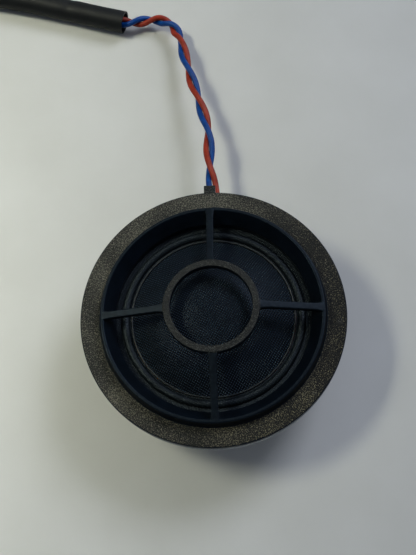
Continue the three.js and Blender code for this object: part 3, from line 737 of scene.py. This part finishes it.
housing_inner_r, lip_r, floor_t, foot = 18.3, 18.9, 1.2, 0.8
yoke_bottom_z, yoke_top_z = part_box("yoke_cup")[0].z / mm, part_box("yoke_cup")[1].z / mm
outlet_y, outlet_wall = 24.4, 1.0
label_r, label_depth, pin_r, pin_depth = 13.0, 0.15, 1.1, 0.12
housing = turned("rear_cup", rounded([
    (0, label_depth, 0), (label_r, label_depth, 0.1), (label_r + 0.1, 0, 0.05),
    (skirt_outer_r - foot, 0, 0.3), (skirt_outer_r, foot, 0.3),
    (skirt_outer_r, skirt_bottom_z, 0.12), (lip_r, skirt_bottom_z, 0.05),
    (lip_r, yoke_top_z, 0.1), (housing_inner_r, yoke_top_z, 0.1),
    (housing_inner_r, floor_t, 0.3), (0, floor_t, 0)]), round_facets, housing_abs)
outlet_box = rounded_block("outlet_box", (-outlet_half_w, lip_r - 0.3, outlet_z - outlet_half_h),
                           (outlet_half_w, outlet_y, outlet_z + outlet_half_h), 0.35, housing_abs)
rib_reach, rib_half_w, rooted = 2.0, 0.7, 0.3
ribs = []
for angle in (45, 135, 225, 315):
    rib = rounded_block("rib", (housing_inner_r - rib_reach, -rib_half_w, floor_t - 0.5),
                        (housing_inner_r + rooted, rib_half_w, yoke_bottom_z), 0.0)
    rib.data.transform(Matrix.Rotation(math.radians(angle), 4, "Z"))
    ribs.append(rib)
hooks = [hook_block(f"hook_{i}", turn, hook_inner_r, skirt_outer_r - snap_gap, 0.0, 0.12)
         for i, turn in enumerate(hook_turns)]
combine(housing, [outlet_box, *ribs, *hooks], "UNION")

pocket_inner_y = housing_inner_r - 3.0
pocket = rounded_block("pocket", (-outlet_half_w + outlet_wall, pocket_inner_y,
                                  outlet_z - outlet_half_h + outlet_wall),
                       (outlet_half_w - outlet_wall, outlet_y - outlet_wall,
                        outlet_z + outlet_half_h - outlet_wall), 0.0)
shaft_half_w, shaft_floor_z = 5.0, floor_t + 0.8
shaft = rounded_block("shaft", (-shaft_half_w, pocket_inner_y, shaft_floor_z),
                      (shaft_half_w, skirt_inner_r + 0.3, flange_z), 0.0)
cable_x, grommet_stretch, neck_r = 0.5, 1.8, 1.5


def oval(name, outline, segments, *materials):
    """A solid turned about the cable's axis, from (radius, y) points, and stretched sideways."""
    made = turned(name, outline, segments, *materials)
    made.data.transform(
        Matrix.Translation(Vector((cable_x, 0, outlet_z)) * mm)
        @ Matrix.Diagonal((grommet_stretch, 1, 1, 1)) @ Matrix.Rotation(-math.pi / 2, 4, "X"))
    return made


# Each hole is cut by a solid that goes past both faces of the wall.
cut_from_y, cut_to_y, cable_hole_r = 22.0, 26.0, neck_r + 0.05
oval_facets, hole_facets = 64, 40
cable_hole = oval("cable_hole", [(0, cut_from_y), (cable_hole_r, cut_from_y),
                                 (cable_hole_r, cut_to_y), (0, cut_to_y)], oval_facets)
pin_circle_r, mark_z = 9, label_depth + pin_depth
ejector_marks = []
for x, y in ((pin_circle_r, 0), (-pin_circle_r, 0), (0, pin_circle_r), (0, -pin_circle_r)):
    mark = turned("ejector_mark", [(0, -1), (pin_r, -1), (pin_r, mark_z), (0, mark_z)],
                  hole_facets)
    mark.data.transform(Matrix.Translation(Vector((x, y, 0)) * mm))
    ejector_marks.append(mark)
combine(housing, [pocket, shaft, cable_hole, *ejector_marks], "DIFFERENCE")
smooth(housing, sharp_degrees=32)
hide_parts("rear_housing")
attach(housing, "root")


# ---- Cable grommet -----------------------------------------------------------------------------
# An oval of black rubber, moulded with two holes and a groove that the outlet box's wall sits in.
# It is pulled through from inside, and keeps the leads from chafing on the plastic.

# Moulded rubber: a dull black with a faint bloom of wax on it.
rubber = mottled(
    new_finish("moulded_black_rubber", **{"Roughness": 0.75, "IOR": 1.52}),
    {"Scale": 1.0, "Detail": 5.0}, [(0.3, "#0f0f10"), (0.75, "#1e1e1f")], relief=(0.3, 0.0001))

wire_d, wire_spacing = 1.2, 1.32
grommet_rear_y, grommet_tip_y, head_r, tail_r = 22.6, 27.1, 2.0, 1.3
inner_wall_y = outlet_y - outlet_wall
grommet = oval("two_hole_grommet", rounded([
    (0, grommet_rear_y, 0), (head_r - 0.1, grommet_rear_y, 0.15), (head_r, inner_wall_y, 0.06),
    (neck_r, inner_wall_y, 0), (neck_r, outlet_y, 0), (head_r, outlet_y, 0.06),
    (head_r, outlet_y + 0.6, 0.2), (tail_r + 0.25, outlet_y + 0.62, 0.1),
    (tail_r, grommet_tip_y, 0.15), (0, grommet_tip_y, 0)]), ring_facets, rubber)
wire_hole_r, wire_cut_to_y = wire_d / 2 + 0.06, 28
wire_holes = []
for side in (-1, 1):
    hole = turned("wire_hole", [(0, cut_from_y), (wire_hole_r, cut_from_y),
                                (wire_hole_r, wire_cut_to_y), (0, wire_cut_to_y)],
                  hole_facets)
    hole.data.transform(
        Matrix.Translation(Vector((cable_x + side * wire_spacing / 2, 0, outlet_z)) * mm)
        @ Matrix.Rotation(-math.pi / 2, 4, "X"))
    wire_holes.append(hole)
combine(grommet, wire_holes, "DIFFERENCE")
smooth(grommet, sharp_degrees=32)
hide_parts("cable_grommet")
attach(grommet, "root")


# ---- Connector ---------------------------------------------------------------------------------
# A two-way nylon housing with a shroud round its pins and a latch arm on top. The crimped
# contacts are pushed in from the back until they click.

# Dark grey nylon: a satin moulding with faint flow streaks.
plug_nylon = mottled(
    new_finish("grey_black_nylon", **{"Roughness": 0.42, "IOR": 1.53}),
    {"Scale": 0.7, "Detail": 5.0, "Distortion": 0.8},
    [(0.3, "#1c1e20"), (0.7, "#303336")], relief=(0.2, 0.0001))

plug_low, plug_high = [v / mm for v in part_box("connector_housing")]
plug_x = (plug_low.x + plug_high.x) / 2
plug_half_w, plug_h, plug_wall = (plug_high.x - plug_low.x) / 2, 6.5, 0.8
plug_front_y, plug_rear_y, shroud_depth = plug_low.y, plug_high.y, 6.0
plug_pitch, contact_w = 3.5, 1.3
latch_half_w, latch_l, latch_inset, latch_gap, latch_t = 1.6, 9.0, 4.0, 0.7, 0.8
latch_root_l, barb_l = 1.2, 1.4

plug = rounded_block("two_way_plug", (plug_low.x, plug_front_y, 0),
                     (plug_high.x, plug_rear_y, plug_h), 0.4, plug_nylon)
latch_rear_y = plug_rear_y - latch_inset
latch_low_z = plug_h + latch_gap
latch_parts = [
    rounded_block("latch_root", (plug_x - latch_half_w, latch_rear_y - latch_root_l,
                                 plug_h - 0.5),
                  (plug_x + latch_half_w, latch_rear_y, latch_low_z + latch_t), 0.15),
    rounded_block("latch_arm", (plug_x - latch_half_w, latch_rear_y - latch_l, latch_low_z),
                  (plug_x + latch_half_w, latch_rear_y - 0.1, latch_low_z + latch_t), 0.15),
    rounded_block("latch_barb", (plug_x - latch_half_w, latch_rear_y - latch_l + 0.01,
                                 latch_low_z + latch_t / 2),
                  (plug_x + latch_half_w, latch_rear_y - latch_l + barb_l,
                   plug_high.z - hair), 0.12)]
combine(plug, latch_parts, "UNION")
shroud = rounded_block("shroud", (plug_low.x + plug_wall, plug_front_y - 1, plug_wall),
                       (plug_high.x - plug_wall, plug_front_y + shroud_depth,
                        plug_h - plug_wall), 0.25)
plug_cuts = [shroud]
wire_z, half = plug_h / 2, contact_w / 2 + 0.05
for side in (-1, 1):
    x = plug_x + side * plug_pitch / 2
    plug_cuts.append(rounded_block("contact_channel", (x - half, plug_front_y, wire_z - half),
                                   (x + half, plug_rear_y + 1, wire_z + half), 0.0))
grip_count, grip_pitch, grip_start, groove_half, groove_end = 4, 1.2, 1.5, 0.25, 1.0
for side in (-1, 1):
    for i in range(grip_count):
        x = plug_x + side * (plug_half_w - 0.1)
        y = plug_rear_y - grip_start - grip_pitch * i
        plug_cuts.append(rounded_block(
            "grip_groove", (x - groove_half, y - groove_half, groove_end),
            (x + groove_half, y + groove_half, plug_h - groove_end), 0.1))
combine(plug, plug_cuts, "DIFFERENCE")
smooth(plug, sharp_degrees=32)
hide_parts("connector_housing")
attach(plug, "root")


# ---- Lead wires --------------------------------------------------------------------------------
# Two stranded copper wires in thin PVC, soldered to the tags inside. They leave through the
# grommet side by side, are twisted by hand, and run on through the sleeve to the connector.

# The route as points in mm: the twisted pair, the stretch inside the sleeve, and the short tail.
pair_route = [
    (0.5, 22.4, 8.0), (0.5, 27.4, 8.0), (-0.2, 34.2, 7.9), (-0.4, 42.6, 7.3), (-2.4, 51.1, 6.3),
    (-4.7, 60.1, 4.9), (-6.2, 67.4, 3.6), (-8.0, 71.5, 3.0), (-10.7, 73.4, 2.5),
    (-13.4, 73.7, 2.3), (-16.1, 73.3, 2.4)]
sleeve_route = [
    (-18.7, 73.4, 2.5), (-24.3, 75.1, 2.5), (-33.4, 78.0, 2.5), (-42.7, 80.8, 2.5),
    (-51.0, 82.6, 2.5), (-58.5, 82.2, 2.5), (-65.5, 78.6, 2.5), (-70.5, 72.2, 2.5),
    (-72.8, 64.0, 2.5), (-73.2, 54.0, 2.5), (-73.0, 44.0, 2.5), (-73.0, 35.0, 2.5)]
tail_route = [(-73.0, 28.0, 2.5), (-73.0, 20.0, 2.9), (-73.0, 12.3, 3.25)]


def smooth_line(points, spacing):
    """Points at an even spacing along a smooth line through the given ones."""
    fine_steps = 40
    line = [Vector(p) for p in points]
    line = [2 * line[0] - line[1], *line, 2 * line[-1] - line[-2]]
    fine = [line[1]]
    for a, b, c, d in zip(line, line[1:], line[2:], line[3:]):
        before, here, after = [math.sqrt((q - p).length) for p, q in ((a, b), (b, c), (c, d))]
        lead_in = ((b - a) / before - (c - a) / (before + here) + (c - b) / here) * here
        lead_out = ((c - b) / here - (d - b) / (here + after) + (d - c) / after) * here
        fine += geometry.interpolate_bezier(
            b, b + lead_in / 3, c - lead_out / 3, c, fine_steps)[1:]
    total = sum((q - p).length for p, q in zip(fine, fine[1:]))
    count = round(total / spacing)
    even, walked, i = [fine[0]], 0.0, 0
    for k in range(1, count):
        target = total * k / count
        while walked + (fine[i + 1] - fine[i]).length < target:
            walked += (fine[i + 1] - fine[i]).length
            i += 1
        even.append(fine[i].lerp(fine[i + 1], (target - walked) / (fine[i + 1] - fine[i]).length))
    return even + [fine[-1]]


def frames_along(line):
    """The forward, sideways and upward directions at each point of a line that lies about flat."""
    frames = []
    for i in range(len(line)):
        forward = (line[min(i + 1, len(line) - 1)] - line[max(i - 1, 0)]).normalized()
        across = Vector((forward.y, -forward.x, 0)).normalized()
        frames.append((forward, across, across.cross(forward)))
    return frames


def eased(value, start, end):
    """From 0 at the start to 1 at the end, with soft ends."""
    share = min(max((value - start) / (end - start), 0.0), 1.0)
    return share * share * (3 - 2 * share)


def tube_rings(line, radius, sides):
    """Rings of points round a line, without a twist of their own."""
    rings = []
    side = None
    for i, centre in enumerate(line):
        forward = (line[min(i + 1, len(line) - 1)] - line[max(i - 1, 0)]).normalized()
        side = (side or Vector((0, 0, 1))) - forward * (side or Vector((0, 0, 1))).dot(forward)
        side.normalize()
        other = forward.cross(side)
        rings.append([
            centre + (side * math.cos(angle) + other * math.sin(angle)) * radius
            for angle in (2 * math.pi * k / sides for k in range(sides))])
    return rings


route_step = 0.35
axis = smooth_line(pair_route + sleeve_route + tail_route, route_step)
axis_frames = frames_along(axis)

# The lengths along the pair at which its twist starts, tightens, enters the sleeve and ends.
straight_run, slow_run, mouth_run, tail_run = 7.5, 46.5, 62.0, 162.0
slow_lay, fast_lay, turns_to_tail = 17.0, 8.9, 11.5
touching = wire_d / 2 + 0.02
grip_reach, plug_reach = 5.0, 16.0


def turns_at(along):
    """Turns of the twist up to a length: slow, fast before the sleeve, then even inside it."""
    slow = (min(max(along, straight_run), slow_run) - straight_run) / slow_lay
    fast = (min(max(along, slow_run), mouth_run) - slow_run) / fast_lay
    at_mouth = (slow_run - straight_run) / slow_lay + (mouth_run - slow_run) / fast_lay
    hidden = (min(max(along, mouth_run), tail_run) - mouth_run) / (tail_run - mouth_run)
    return slow + fast + hidden * (turns_to_tail - at_mouth)


wire_lines = {"blue": [], "red": []}
axis_length = route_step * (len(axis) - 1)
for i, (centre, (forward, across, upward)) in enumerate(zip(axis, axis_frames)):
    along = route_step * i
    offset = wire_spacing / 2 + (touching - wire_spacing / 2) * eased(along, straight_run,
                                                                      straight_run + grip_reach)
    offset += (plug_pitch / 2 - touching) * eased(along, axis_length - plug_reach, axis_length)
    turn = 2 * math.pi * turns_at(along)
    out = across * math.cos(turn) + upward * math.sin(turn)
    wire_lines["red"].append(centre + out * offset)
    wire_lines["blue"].append(centre - out * offset)


def insulation(name, dark, light):
    """PVC insulation: glossy where new, with soft handling marks that dull it a little."""
    return mottled(
        new_finish(name, **{"Roughness": 0.42, "IOR": 1.53, "Specular IOR Level": 0.2}),
        {"Scale": 0.9, "Detail": 4.0}, [(0.3, dark), (0.7, light)], relief=(0.15, 0.0001))


# The cord's free length and the place where it leaves the grommet, in metres.
wire_length, cable_exit, wire_sides = 0.187, (0.0005, 0.0271, 0.008), 20
for name, dark, light in (("blue", "#002f6e", "#01438c"), ("red", "#7c2414", "#98311c")):
    wire = lofted(f"pvc_wire_{name}", tube_rings(wire_lines[name], wire_d / 2, wire_sides),
                  insulation(f"{name}_pvc_insulation", dark, light))
    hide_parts(f"lead_wire_{name}", f"tail_wire_{name}")
    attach(wire, "root")


# ---- Protective sleeve -------------------------------------------------------------------------
# A length of soft black PVC tubing, cut square and pushed over the pair to guard it where it lies
# against the car's metalwork. It keeps a shallow crease where it was once folded.

# Soft PVC: black and matt, with a haze of dust and plasticiser in slow patches.
sleeve_pvc = mottled(
    new_finish("matt_pvc_tubing", **{
        "Roughness": 0.55, "IOR": 1.53, "Specular IOR Level": 0.25}),
    {"Scale": 0.5, "Detail": 6.0, "Roughness": 0.65}, [(0.3, "#07090a"), (0.7, "#0f1213")],
    relief=(0.25, 0.0001))

sleeve_r, sleeve_wall, sleeve_sides = 2.45, 0.4, 48
crease_at, crease_reach, crease_depth = 13.0, 1.1, 0.22
sleeve_line = smooth_line(sleeve_route, route_step)
outer_rings = tube_rings(sleeve_line, sleeve_r, sleeve_sides)
inner_rings = tube_rings(sleeve_line, sleeve_r - sleeve_wall, sleeve_sides)
for i, (centre, ring) in enumerate(zip(sleeve_line, outer_rings)):
    near_crease = math.exp(-((route_step * i - crease_at) / crease_reach) ** 2)
    for k, point in enumerate(ring):
        on_top = max(0.0, (point - centre).normalized().z)
        ring[k] = point + (centre - point).normalized() * crease_depth * near_crease * on_top
rings = outer_rings + inner_rings[::-1]
vertices = [point for ring in rings for point in ring]
faces = []
for i in range(len(rings)):
    here, there = i * sleeve_sides, (i + 1) % len(rings) * sleeve_sides
    for k in range(sleeve_sides):
        j = (k + 1) % sleeve_sides
        faces.append((here + k, here + j, there + j, there + k))
sleeve = mesh_piece("pvc_sleeve", vertices, faces, sleeve_pvc)
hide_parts("protective_sleeve")
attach(sleeve, "root")
